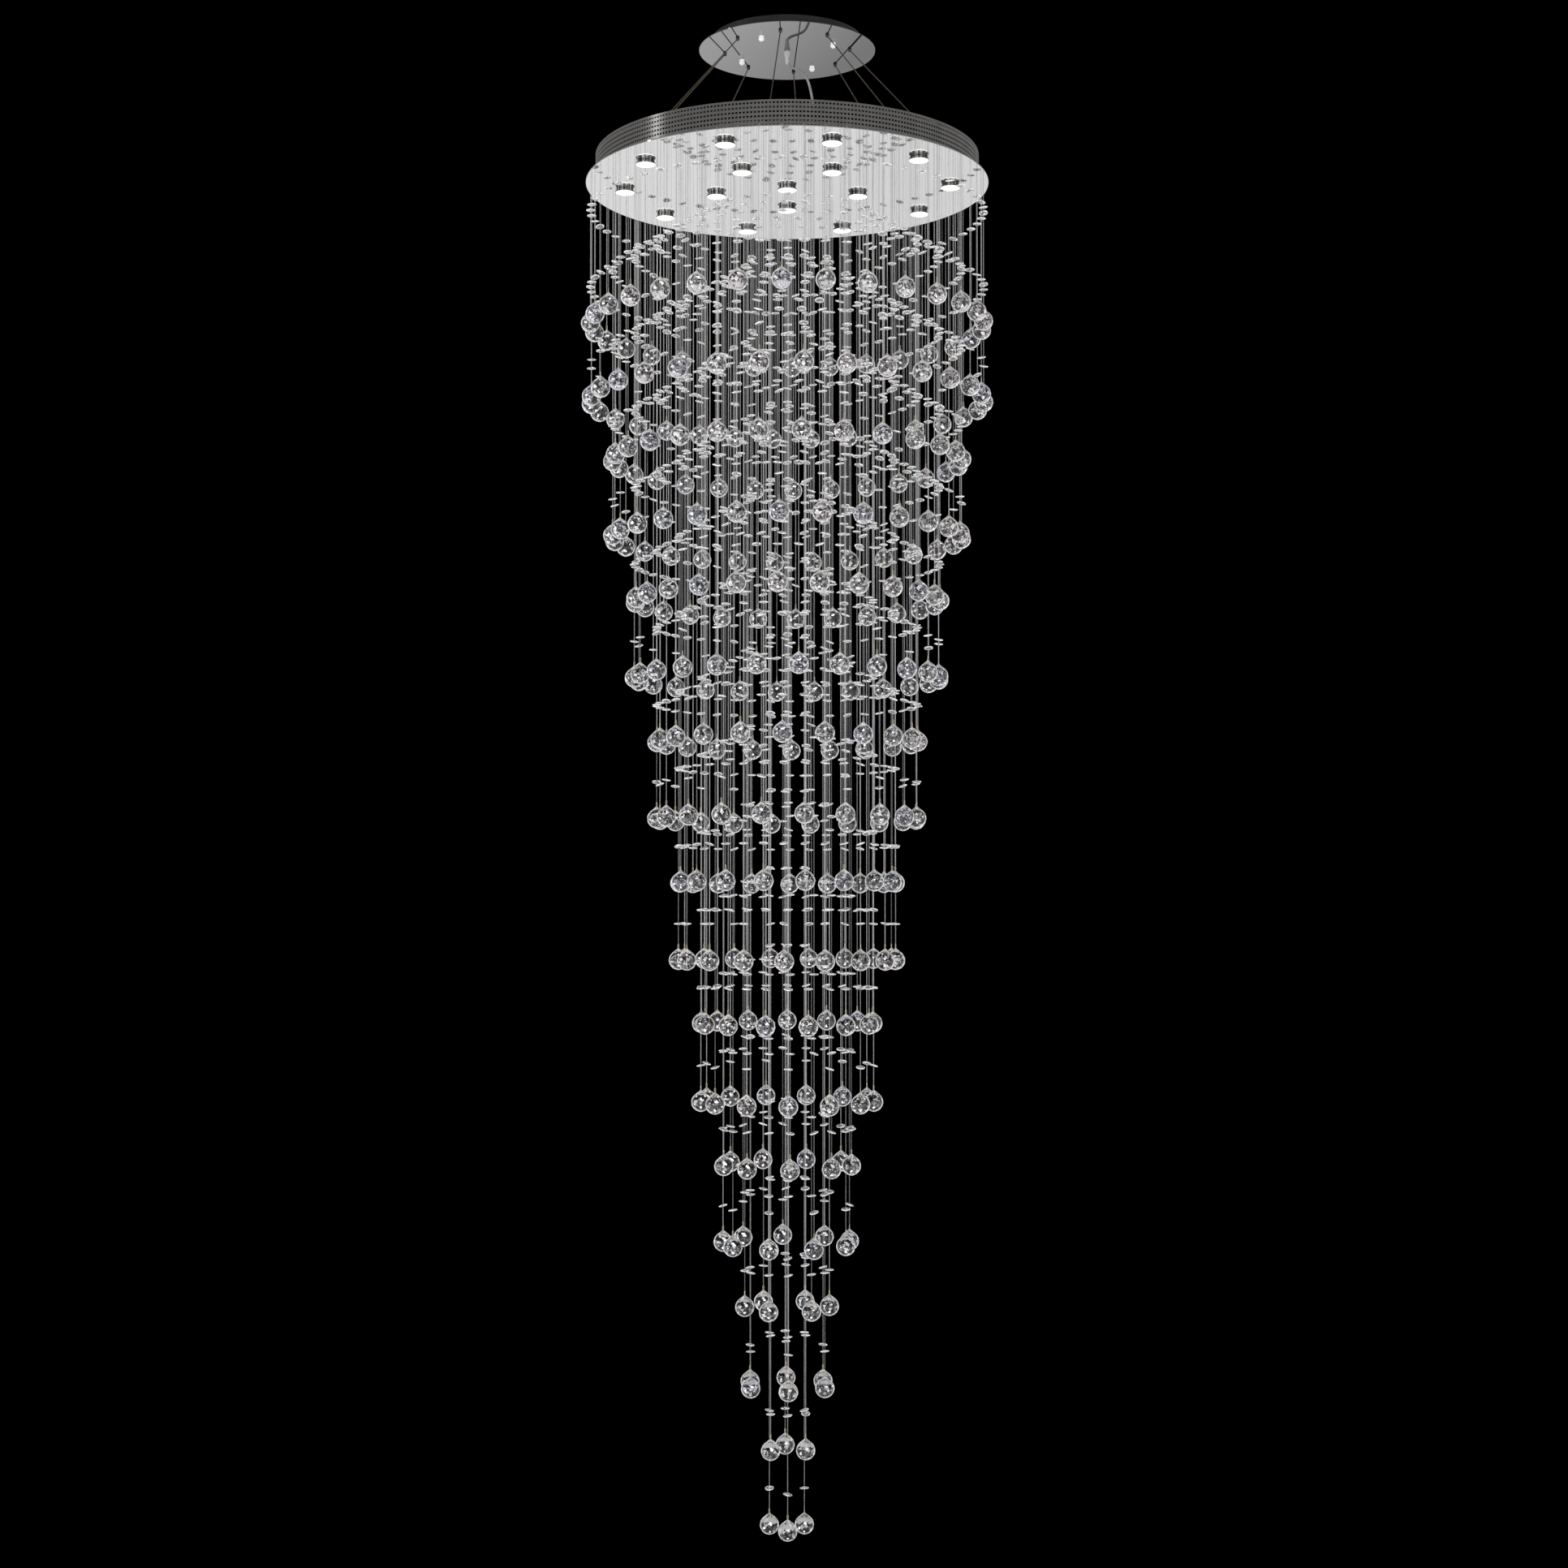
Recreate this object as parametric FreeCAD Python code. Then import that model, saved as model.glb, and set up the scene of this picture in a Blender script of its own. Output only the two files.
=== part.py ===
import FreeCAD, Part
import math
import os

# Crystal chandelier: a mirror canopy on the ceiling, eight wire ropes, a flat drum with lamps,
# and nine rings of clear lines that carry small beads and end in facetted crystal balls.
# Millimetres, +Z up, the origin is on the ceiling above the middle of the drum.

V = FreeCAD.Vector
up = V(0, 0, 1)

# Ceiling pan and mirror canopy. An inset is how far inside the edge of its own sheet a circle lies.
canopy_radius = 178.0
pan_inset = 26.5
pan_height = 21.5
pan_sheet = 1.5
anchor_inset = 31.5
anchor_hole = 6.5
anchor_count = 4
anchor_turn = 13.0
canopy_sheet = 1.5
supply_hole = 20.0
supply_offset = 60.0
stud_inset = 46.0
stud_diameter = 6.0
stud_count = 4
stud_turn = 61.0
stud_tail = 7.0
cap_nut_radius = 5.5
cap_nut_collar = 4.8
cap_nut_collar_height = 2.0
cap_nut_sink = 2.0
cap_nut_bore_spare = 0.5
thread_clearance = 0.2

# Wire ropes and their ball ends
rope_count = 8
rope_turn = 39.0
rope_diameter = 2.4
rope_top_inset = 24.5
rope_bottom_inset = 48.5
rope_ball_radius = 3.8
rope_stem_diameter = 5.0
rope_nut_flats = 8.0
rope_nut_height = 4.0
rope_end_gap = 0.1
rope_ball_seat = 0.45

# Power cord and glands
cord_diameter = 5.0
gland_radius = 6.5
gland_lip = 3.0
gland_thread = 5.0
gland_nut_height = 4.0
gland_nut_radius = 8.5
gland_tip_radius = 4.0
gland_tip_height = 14.0
gland_tip_wall = 2.0
thread_end = 1.0
drum_gland_circle = 61.4
drum_gland_turn = 12.2

# Drum
drum_radius = 406.0
drum_drop = 275.6
plate_sheet = 2.0
band_inset = 19.5
cover_height = 43.7
band_lip = 10.4
band_sheet = 1.2
cover_sheet = 1.0
cover_gap = 0.3
arm_width = 20.0
arm_sheet = 4.0
hub_radius = 48.0
rim_width = 12.0
pillar_inset = 12.5
pillar_radius = 4.0
cover_screw_inset = 64.5
cover_screw_radius = 4.0
cover_screw_head = 2.4
cover_screw_shank = 1.6
cover_screw_end = 2.0

# Lamps
outer_lamp_count = 10
outer_lamp_turn = -3.0
inner_lamp_count = 5
inner_lamp_turn = 18.0
lamp_face_radius = 19.7
lamp_rim_height = 2.5
lamp_protrusion = 11.0
lamp_throat_radius = 15.5
lamp_neck_radius = 8.0
lamp_neck_height = 22.0
lamp_base_height = 6.0
lamp_hole_clearance = 1.5
lamp_pin_radius = 1.5
lamp_pin_height = 4.0
lamp_pin_spacing = 8.0
lamp_pin_clearance = 0.4
lamp_pin_end_gap = 0.5
socket_radius = 11.0
socket_height = 9.0
socket_gap = 0.3
bracket_width = 24.0
bracket_sheet = 1.2
bracket_foot = 9.0
bracket_reach = 27.0
bracket_hole_clearance = 1.0
lead_radius = 1.5
lead_gap = 0.3
terminal_length = 40.0
terminal_width = 16.0
terminal_height = 9.0
terminal_turn = -6.0
canopy_block_circle = 62.0
canopy_block_turn = 150.0

# Crystal strands
ring_count = 9
ring_edge_inset = 9.7
last_ring_radius = 40.54
ring_strands = (30, 27, 24, 20, 17, 13, 9, 6, 3)
short_turns = (4.5, 7.8, -3.4, 16.0, 3.9, 6.8, 32.5, 4.5, -24.3)
long_turns = (10.5, 0.9, 4.1, 7.2, 14.4, 21.5, 14.0, 31.6, 31.5)
outer_ring_drop = 285.0
second_ring_drop = 559.5
ring_drop = 283.0
tier_drop = 155.5
line_radius = 0.6
line_hole_clearance = 0.4
stop_radius = 2.2
stop_height = 4.0
stop_clearance = 0.15
stop_seat_gap = 0.3
ball_radius = 19.25
ball_sides = 8
ball_latitudes = (-62.0, -30.0, 2.0, 34.0)
ball_foot_radius = 5.0
neck_radius = 3.0
neck_height = 22.5
pin_radius = 1.2
pin_height = 10.0
pin_gap = 0.2
bead_radius = 9.0
bead_half_height = 2.6
bead_edge = 0.7
bead_bore_clearance = 0.3
first_bead_height = 73.0
bead_pitch = 155.5
bead_top_margin = 45.0

# Circles that follow the canopy and the drum
pan_radius = canopy_radius - pan_inset
anchor_circle = pan_radius - anchor_inset
stud_circle = pan_radius - stud_inset
rope_circle_top = pan_radius - rope_top_inset
band_radius = drum_radius - band_inset
rope_circle_bottom = band_radius - rope_bottom_inset
pillar_circle = band_radius - pillar_inset
cover_screw_circle = band_radius - cover_screw_inset
first_ring_radius = drum_radius - ring_edge_inset
ring_pitch = (first_ring_radius - last_ring_radius) / (ring_count - 1)
ring_radii = [first_ring_radius - ring_pitch * k for k in range(ring_count)]
outer_lamp_circle = (ring_radii[1] + ring_radii[2]) / 2
inner_lamp_circle = (ring_radii[5] + ring_radii[6]) / 2
terminal_circle = (inner_lamp_circle + hub_radius) / 2

# Levels, from the ceiling down
pan_bottom = -pan_height
canopy_bottom = pan_bottom - canopy_sheet
plate_bottom = canopy_bottom - drum_drop
plate_top = plate_bottom + plate_sheet
cover_top = plate_top + cover_height
band_top = cover_top + band_lip
cover_bottom = cover_top - cover_sheet
arm_bottom = cover_bottom - arm_sheet
lamp_face = plate_bottom - lamp_protrusion
lamp_neck_bottom = plate_bottom + lamp_neck_height - lamp_base_height
lamp_top = lamp_neck_bottom + lamp_base_height
socket_bottom = lamp_top + socket_gap
socket_top = socket_bottom + socket_height
stop_bottom = plate_top + stop_seat_gap
line_top = stop_bottom + stop_height
lamp_hole_radius = lamp_throat_radius + lamp_hole_clearance


def polar(radius, degrees, z=0.0):
    a = math.radians(degrees)
    return V(radius * math.cos(a), radius * math.sin(a), z)


def around(count, turn, radius, z=0.0):
    return [polar(radius, turn + 360.0 * k / count, z) for k in range(count)]


def cylinder(radius, bottom, top, at=V(0, 0, 0)):
    return Part.makeCylinder(radius, top - bottom, V(at.x, at.y, bottom))


def tube(outer, inner, bottom, top, at=V(0, 0, 0)):
    return cylinder(outer, bottom, top, at).cut(cylinder(inner, bottom, top, at))


def revolved(profile):
    points = [V(r, 0, z) for r, z in profile]
    face = Part.Face(Part.makePolygon(points + [points[0]]))
    return face.revolve(V(0, 0, 0), up, 360)


def block(length, width, bottom, top, centre, degrees):
    box = Part.makeBox(length, width, top - bottom, V(-length / 2, -width / 2, bottom))
    box.rotate(V(0, 0, 0), up, degrees)
    return box.translated(V(centre.x, centre.y, 0))


def drilled(body, radius, spots, bottom, top):
    tools = [cylinder(radius, bottom - 1, top + 1, at) for at in spots]
    return body.cut(Part.Compound(tools))


def hex_nut(flats, bore, bottom, top, at):
    corner = flats / math.sqrt(3)
    points = [polar(corner, 60.0 * k, bottom) for k in range(6)]
    nut = Part.Face(Part.makePolygon(points + [points[0]])).extrude(V(0, 0, top - bottom))
    return nut.cut(cylinder(bore, bottom - 1, top + 1)).translated(V(at.x, at.y, 0))


# Ceiling fitting

def ceiling_pan():
    pan = cylinder(pan_radius, pan_bottom, 0)
    pan = pan.cut(cylinder(pan_radius - pan_sheet, pan_bottom, -pan_sheet))
    anchors = around(anchor_count, anchor_turn, anchor_circle)
    pan = drilled(pan, anchor_hole / 2, anchors, -pan_sheet, 0)
    pan = drilled(pan, supply_hole / 2, [polar(supply_offset, 0)], -pan_sheet, 0)
    return [pan]


def canopy_studs():
    low = canopy_bottom - stud_tail
    return [cylinder(stud_diameter / 2, low, -pan_sheet, at)
            for at in around(stud_count, stud_turn, stud_circle)]


def canopy_cap_nuts():
    collar_bottom = canopy_bottom - cap_nut_collar_height
    bore_radius = stud_diameter / 2 + thread_clearance
    nuts = []
    for at in around(stud_count, stud_turn, stud_circle):
        nut = cylinder(cap_nut_collar, collar_bottom, canopy_bottom, at)
        centre = V(at.x, at.y, collar_bottom - cap_nut_radius + cap_nut_sink)
        nut = nut.fuse(Part.makeSphere(cap_nut_radius, centre))
        bore_bottom = canopy_bottom - stud_tail - cap_nut_bore_spare
        nuts.append(nut.cut(cylinder(bore_radius, bore_bottom, canopy_bottom + 1, at)).removeSplitter())
    return nuts


def canopy_plate():
    plate = cylinder(canopy_radius, canopy_bottom, pan_bottom)
    studs = around(stud_count, stud_turn, stud_circle)
    ropes = around(rope_count, rope_turn, rope_circle_top)
    plate = drilled(plate, stud_diameter / 2 + thread_clearance, studs, canopy_bottom, pan_bottom)
    stem = rope_stem_diameter / 2 + thread_clearance
    plate = drilled(plate, stem, ropes, canopy_bottom, pan_bottom)
    plate = drilled(plate, gland_thread + thread_clearance, [V(0, 0, 0)], canopy_bottom, pan_bottom)
    return [plate]


def rope_ball(at, seat, way, tail):
    # A ball end that hangs under a sheet, or stands on one where way is 1, with a threaded stem.
    centre = V(at.x, at.y, seat + way * rope_ball_radius * rope_ball_seat)
    low, high = sorted((centre.z, seat - way * tail))
    ball = Part.makeSphere(rope_ball_radius, centre)
    keep_low, keep_high = sorted((seat, seat + way * 3 * rope_ball_radius))
    slab = cylinder(2 * rope_ball_radius, keep_low, keep_high, at)
    return ball.common(slab).fuse(cylinder(rope_stem_diameter / 2, low, high, at)).removeSplitter()


def canopy_rope_ends():
    tail = canopy_sheet + rope_nut_height + thread_end
    return [rope_ball(at, canopy_bottom, -1, tail)
            for at in around(rope_count, rope_turn, rope_circle_top)]


def canopy_rope_nuts():
    bore = rope_stem_diameter / 2 + thread_clearance
    return [hex_nut(rope_nut_flats, bore, pan_bottom, pan_bottom + rope_nut_height, at)
            for at in around(rope_count, rope_turn, rope_circle_top)]


def drum_rope_ends():
    tail = cover_sheet + arm_sheet + rope_nut_height + thread_end
    return [rope_ball(at, cover_top, 1, tail)
            for at in around(rope_count, rope_turn, rope_circle_bottom)]


def drum_rope_nuts():
    bore = rope_stem_diameter / 2 + thread_clearance
    return [hex_nut(rope_nut_flats, bore, arm_bottom - rope_nut_height, arm_bottom, at)
            for at in around(rope_count, rope_turn, rope_circle_bottom)]


def suspension_ropes():
    ropes = []
    tops = around(rope_count, rope_turn, rope_circle_top, canopy_bottom - rope_ball_radius * rope_ball_seat)
    bottoms = around(rope_count, rope_turn, rope_circle_bottom, cover_top + rope_ball_radius * rope_ball_seat)
    for high, low in zip(tops, bottoms):
        way = low.sub(high).normalize()
        skip = rope_ball_radius + rope_end_gap
        start = high + way * skip
        length = low.sub(high).Length - 2 * skip
        ropes.append(Part.makeCylinder(rope_diameter / 2, length, start, way))
    return ropes


# Cord, glands and terminals

def gland(at, seat, sheet, way):
    # A cord gland on a sheet: its lip and taper on the outer side, a threaded tail through the sheet.
    bore = cord_diameter / 2 + thread_clearance
    tail = -sheet - gland_nut_height - thread_end
    wall = gland_tip_height - gland_tip_wall
    profile = [(bore, tail), (gland_thread, tail), (gland_thread, 0), (gland_radius, 0),
               (gland_radius, gland_lip), (gland_tip_radius, gland_tip_height),
               (0, gland_tip_height), (0, wall), (bore, wall)]
    body = revolved(profile)
    if way < 0:
        body.rotate(V(0, 0, 0), V(1, 0, 0), 180)
    return body.translated(V(at.x, at.y, seat))


def canopy_gland():
    return [gland(V(0, 0, 0), canopy_bottom, canopy_sheet, -1)]


def drum_gland():
    return [gland(polar(drum_gland_circle, drum_gland_turn), cover_top, cover_sheet, 1)]


def gland_nuts():
    bore = gland_thread + thread_clearance
    flats = 2 * gland_nut_radius * math.cos(math.radians(30))
    spot = polar(drum_gland_circle, drum_gland_turn)
    return [hex_nut(flats, bore, pan_bottom, pan_bottom + gland_nut_height, V(0, 0, 0)),
            hex_nut(flats, bore, cover_bottom - gland_nut_height, cover_bottom, spot)]


def cord_route():
    high = canopy_bottom - gland_tip_height
    low = cover_top + gland_tip_height
    end = polar(drum_gland_circle, drum_gland_turn)
    return [V(0, 0, high), V(0, 0, high - 11), V(9, 2, high - 18), V(22, 4, high - 22.5),
            V(34, 7, high - 29), V(42, 8, high - 41), V(50, 10, high - 70),
            V(end.x, end.y, low + 60), V(end.x, end.y, low)]


def bent_tube(points, radius):
    # Straight runs joined by arcs that touch them, each as large as its two runs allow.
    edges = []
    radii = []
    here = points[0]
    for before, corner, after in zip(points, points[1:], points[2:]):
        back = before.sub(corner).normalize()
        on = after.sub(corner).normalize()
        cut = 0.45 * min(before.sub(corner).Length, after.sub(corner).Length)
        half_turn = (math.pi - back.getAngle(on)) / 2
        arc_radius = cut / math.tan(half_turn)
        radii.append(arc_radius)
        centre = corner + (back + on).normalize() * (arc_radius / math.cos(half_turn))
        start = corner + back * cut
        stop = corner + on * cut
        middle = centre + corner.sub(centre).normalize() * arc_radius
        edges.append(Part.LineSegment(here, start).toShape())
        edges.append(Part.Arc(start, middle, stop).toShape())
        here = stop
    edges.append(Part.LineSegment(here, points[-1]).toShape())
    path = Part.Wire(edges)
    ring = Part.Wire(Part.makeCircle(radius, points[0], points[1].sub(points[0])))
    solid = path.makePipeShell([ring], True, False, 0)
    share = solid.Volume / (math.pi * radius * radius * path.Length)
    print("cord bend radii", [round(r) for r in radii], "length", round(path.Length, 1), "fill", round(share, 4))
    return solid


def power_cord():
    return [bent_tube(cord_route(), cord_diameter / 2)]


def terminal_blocks():
    low = -pan_sheet - terminal_height
    spot = polar(canopy_block_circle, canopy_block_turn)
    return [block(terminal_width, terminal_length, low, -pan_sheet, spot, canopy_block_turn),
            block(terminal_width, terminal_length, arm_bottom - terminal_height, arm_bottom,
                  polar(terminal_circle, terminal_turn), terminal_turn)]


def lamp_leads():
    z = socket_top + lead_gap + lead_radius
    loops = [Part.makeTorus(r, lead_radius, V(0, 0, z)) for r in (outer_lamp_circle, inner_lamp_circle)]
    stretches = ((terminal_circle + terminal_width / 2, inner_lamp_circle - lead_radius),
                 (inner_lamp_circle + lead_radius, outer_lamp_circle - lead_radius))
    way = polar(1, terminal_turn)
    links = [Part.makeCylinder(lead_radius, b - a - 2 * lead_gap, polar(a + lead_gap, terminal_turn, z), way)
             for a, b in stretches]
    return loops + links


# Drum

def drum_frame():
    rim = band_radius - band_sheet - cover_gap
    frame = tube(rim, rim - rim_width, arm_bottom, cover_bottom)
    frame = frame.fuse(cylinder(hub_radius, arm_bottom, cover_bottom))
    for k in range(rope_count):
        degrees = rope_turn + 360.0 * k / rope_count
        length = rim - rim_width / 2
        frame = frame.fuse(block(length, arm_width, arm_bottom, cover_bottom, polar(length / 2, degrees), degrees))
    frame = frame.removeSplitter()
    stem = rope_stem_diameter / 2 + thread_clearance
    ropes = around(rope_count, rope_turn, rope_circle_bottom)
    frame = drilled(frame, stem, ropes, arm_bottom, cover_bottom)
    screws = around(rope_count, rope_turn, cover_screw_circle)
    frame = drilled(frame, cover_screw_shank + thread_clearance, screws, arm_bottom, cover_bottom)
    return [frame]


def top_cover():
    cover = cylinder(band_radius - band_sheet - cover_gap, cover_bottom, cover_top)
    stem = rope_stem_diameter / 2 + thread_clearance
    cover = drilled(cover, stem, around(rope_count, rope_turn, rope_circle_bottom), cover_bottom, cover_top)
    shank = cover_screw_shank + thread_clearance
    cover = drilled(cover, shank, around(rope_count, rope_turn, cover_screw_circle), cover_bottom, cover_top)
    spot = polar(drum_gland_circle, drum_gland_turn)
    return [drilled(cover, gland_thread + thread_clearance, [spot], cover_bottom, cover_top)]


def cover_screws():
    screws = []
    for at in around(rope_count, rope_turn, cover_screw_circle):
        head = cylinder(cover_screw_radius, cover_top, cover_top + cover_screw_head, at)
        shank = cylinder(cover_screw_shank, arm_bottom - cover_screw_end, cover_top, at)
        screws.append(head.fuse(shank).removeSplitter())
    return screws


def perforated_band():
    return [tube(band_radius, band_radius - band_sheet, plate_top, band_top)]


def plate_pillars():
    return [cylinder(pillar_radius, plate_top, arm_bottom, at)
            for at in around(rope_count, rope_turn, pillar_circle)]


def lamp_spots():
    outer = around(outer_lamp_count, outer_lamp_turn, outer_lamp_circle)
    inner = around(inner_lamp_count, inner_lamp_turn, inner_lamp_circle)
    return outer, inner, [V(0, 0, 0)]


def mirror_plate():
    outer, inner, centre = lamp_spots()
    plate = cylinder(drum_radius, plate_bottom, plate_top)
    plate = drilled(plate, lamp_hole_radius, outer + inner + centre, plate_bottom, plate_top)
    lines = [at for ring in range(ring_count) for at, drop in ring_spots(ring)]
    return [drilled(plate, line_radius + line_hole_clearance, lines, plate_bottom, plate_top)]


# Lamps

def placed(body, at, degrees):
    body.rotate(V(0, 0, 0), up, degrees)
    return body.translated(V(at.x, at.y, 0))


def lamp_pins():
    side = V(lamp_pin_spacing / 2, 0, 0)
    return side, side * -1


def lamp(at, degrees):
    profile = [(0, lamp_face), (lamp_face_radius, lamp_face), (lamp_face_radius, lamp_face + lamp_rim_height),
               (lamp_throat_radius, plate_bottom), (lamp_throat_radius, plate_top),
               (lamp_neck_radius, lamp_neck_bottom), (lamp_neck_radius, lamp_top), (0, lamp_top)]
    body = revolved(profile)
    for spot in lamp_pins():
        body = body.fuse(cylinder(lamp_pin_radius, lamp_top, lamp_top + lamp_pin_height, spot))
    return placed(body, at, degrees)


def lamp_socket(at, degrees):
    body = cylinder(socket_radius, socket_bottom, socket_top)
    top = lamp_top + lamp_pin_height + lamp_pin_end_gap
    for spot in lamp_pins():
        body = body.cut(cylinder(lamp_pin_radius + lamp_pin_clearance, socket_bottom - 1, top, spot))
    return placed(body, at, degrees)


def lamp_bracket(at, degrees):
    # A strap over the lamp hole, standing on two feet, with a hole for the neck of the lamp.
    middle = V(0, 0, 0)
    strap = block(bracket_width, 2 * bracket_reach, socket_bottom - bracket_sheet, socket_bottom, middle, 0)
    for side in (-1, 1):
        leg_at = V(0, side * (bracket_reach - bracket_sheet / 2), 0)
        strap = strap.fuse(block(bracket_width, bracket_sheet, plate_top, socket_bottom, leg_at, 0))
        foot_at = V(0, side * (bracket_reach + bracket_foot / 2 - bracket_sheet), 0)
        strap = strap.fuse(block(bracket_width, bracket_foot, plate_top, plate_top + bracket_sheet, foot_at, 0))
    hole = cylinder(lamp_neck_radius + bracket_hole_clearance, lamp_neck_bottom, socket_bottom + 1)
    return placed(strap.cut(hole).removeSplitter(), at, degrees)


def lamp_turns():
    outer = [outer_lamp_turn + 360.0 * k / outer_lamp_count for k in range(outer_lamp_count)]
    inner = [inner_lamp_turn + 360.0 * k / inner_lamp_count for k in range(inner_lamp_count)]
    return outer, inner, [0.0]


def all_lamps(make):
    return [make(at, turn) for spots, turns in zip(lamp_spots(), lamp_turns())
            for at, turn in zip(spots, turns)]


# Crystal strands

def ring_spots(ring):
    # Every strand of a ring as its place on the plate and how far its ball hangs below the plate.
    count = ring_strands[ring]
    drop = second_ring_drop + ring_drop * (ring - 1) if ring else outer_ring_drop
    short = [(at, drop) for at in around(count, short_turns[ring], ring_radii[ring])]
    long = [(at, drop + tier_drop) for at in around(count, long_turns[ring], ring_radii[ring])]
    return short + long


def bead_levels(drop):
    ball_z = plate_bottom - drop
    count = int((drop - first_bead_height - bead_top_margin) // bead_pitch) + 1
    return [ball_z + first_bead_height + bead_pitch * k for k in range(count)]


def ball_shape():
    # Flat facets in bands around a vertical axis, drawn up to a small flat neck.
    levels = [(ball_foot_radius, -ball_radius)]
    for degrees in ball_latitudes:
        a = math.radians(degrees)
        levels.append((ball_radius * math.cos(a), ball_radius * math.sin(a)))
    levels.append((neck_radius, neck_height))
    rings = []
    for radius, z in levels:
        rings.append([polar(radius, 360.0 * k / ball_sides, z) for k in range(ball_sides)])
    faces = [Part.Face(Part.makePolygon(ring + [ring[0]])) for ring in (rings[0], rings[-1])]
    for low, high in zip(rings, rings[1:]):
        for k in range(ball_sides):
            n = (k + 1) % ball_sides
            corners = [low[k], low[n], high[n], high[k], low[k]]
            faces.append(Part.Face(Part.makePolygon(corners)))
    return Part.makeSolid(Part.makeShell(faces))


def bead_shape():
    bore = line_radius + bead_bore_clearance
    return revolved([(bore, -bead_half_height), (bead_radius, -bead_edge),
                     (bead_radius, bead_edge), (bore, bead_half_height)])


def strand_line(at, drop):
    low = plate_bottom - drop + neck_height + pin_gap + pin_height + pin_gap
    return cylinder(line_radius, low, line_top, at)


def strand_stop(at):
    return tube(stop_radius, line_radius + stop_clearance, stop_bottom, line_top, at)


def strand_pin(at, drop):
    low = plate_bottom - drop + neck_height + pin_gap
    return cylinder(pin_radius, low, low + pin_height, at)


def strand_ball(at, drop):
    return ball.translated(V(at.x, at.y, plate_bottom - drop))


def strand_beads(at, drop):
    return [bead.translated(V(at.x, at.y, z)) for z in bead_levels(drop)]


def write(name, solids):
    shape = solids[0] if len(solids) == 1 else Part.Compound(solids)
    bad = [k for k, s in enumerate(solids) if not s.isValid() or len(s.Solids) != 1 or s.Volume <= 0]
    if bad:
        print("bad solids in", name, bad[:5])
    shape.exportStep("parts/" + name + ".step")
    print(name, len(solids))


os.makedirs("parts", exist_ok=True)
ball = ball_shape()
bead = bead_shape()
outer_turns, inner_turns, centre_turns = lamp_turns()
outer_spots, inner_spots, centre_spots = lamp_spots()

write("ceiling_pan", ceiling_pan())
write("canopy_studs", canopy_studs())
write("canopy_plate", canopy_plate())
write("canopy_cap_nuts", canopy_cap_nuts())
write("canopy_rope_ends", canopy_rope_ends())
write("canopy_rope_nuts", canopy_rope_nuts())
write("canopy_gland", canopy_gland())
write("suspension_ropes", suspension_ropes())
write("power_cord", power_cord())
write("drum_rope_ends", drum_rope_ends())
write("drum_rope_nuts", drum_rope_nuts())
write("drum_gland", drum_gland())
canopy_nut, drum_nut = gland_nuts()
write("canopy_gland_nut", [canopy_nut])
write("drum_gland_nut", [drum_nut])
canopy_block, drum_block = terminal_blocks()
write("canopy_terminal_block", [canopy_block])
write("drum_terminal_block", [drum_block])
write("lamp_leads", lamp_leads())
write("drum_frame", drum_frame())
write("top_cover", top_cover())
write("cover_screws", cover_screws())
write("perforated_band", perforated_band())
write("plate_pillars", plate_pillars())
write("mirror_plate", mirror_plate())
write("lamp_sockets", all_lamps(lamp_socket))
write("lamp_brackets", all_lamps(lamp_bracket))
write("outer_lamps", [lamp(at, turn) for at, turn in zip(outer_spots, outer_turns)])
write("inner_lamps", [lamp(at, turn) for at, turn in zip(inner_spots, inner_turns)])
write("centre_lamp", [lamp(at, turn) for at, turn in zip(centre_spots, centre_turns)])

# The three longest strands, in the middle, swing on their own; the rest hang in ring groups.
tip_ring = ring_count - 1
tips = ring_spots(tip_ring)[ring_strands[tip_ring]:]
fixed = []
for ring in range(ring_count):
    spots = ring_spots(ring)
    if ring == tip_ring:
        spots = spots[:ring_strands[ring]]
    fixed.append(spots)
    write("ring_%d_balls" % (ring + 1), [strand_ball(at, drop) for at, drop in spots])
    write("ring_%d_beads" % (ring + 1), [b for at, drop in spots for b in strand_beads(at, drop)])

for name, rings in (("outer", fixed[:3]), ("middle", fixed[3:6]), ("inner", fixed[6:])):
    spots = [spot for ring in rings for spot in ring]
    write(name + "_strand_lines", [strand_line(at, drop) for at, drop in spots])

every = [spot for ring in fixed for spot in ring]
write("strand_stops", [strand_stop(at) for at, drop in every])
write("ball_pins", [strand_pin(at, drop) for at, drop in every])

for k, (at, drop) in enumerate(tips, 1):
    write("tip_%d_line" % k, [strand_line(at, drop), strand_stop(at)])
    write("tip_%d_beads" % k, strand_beads(at, drop))
    write("tip_%d_ball" % k, [strand_ball(at, drop), strand_pin(at, drop)])
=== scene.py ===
import bmesh
import bpy
import math
import random
import numpy as np
from mathutils import Matrix, Vector


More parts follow.
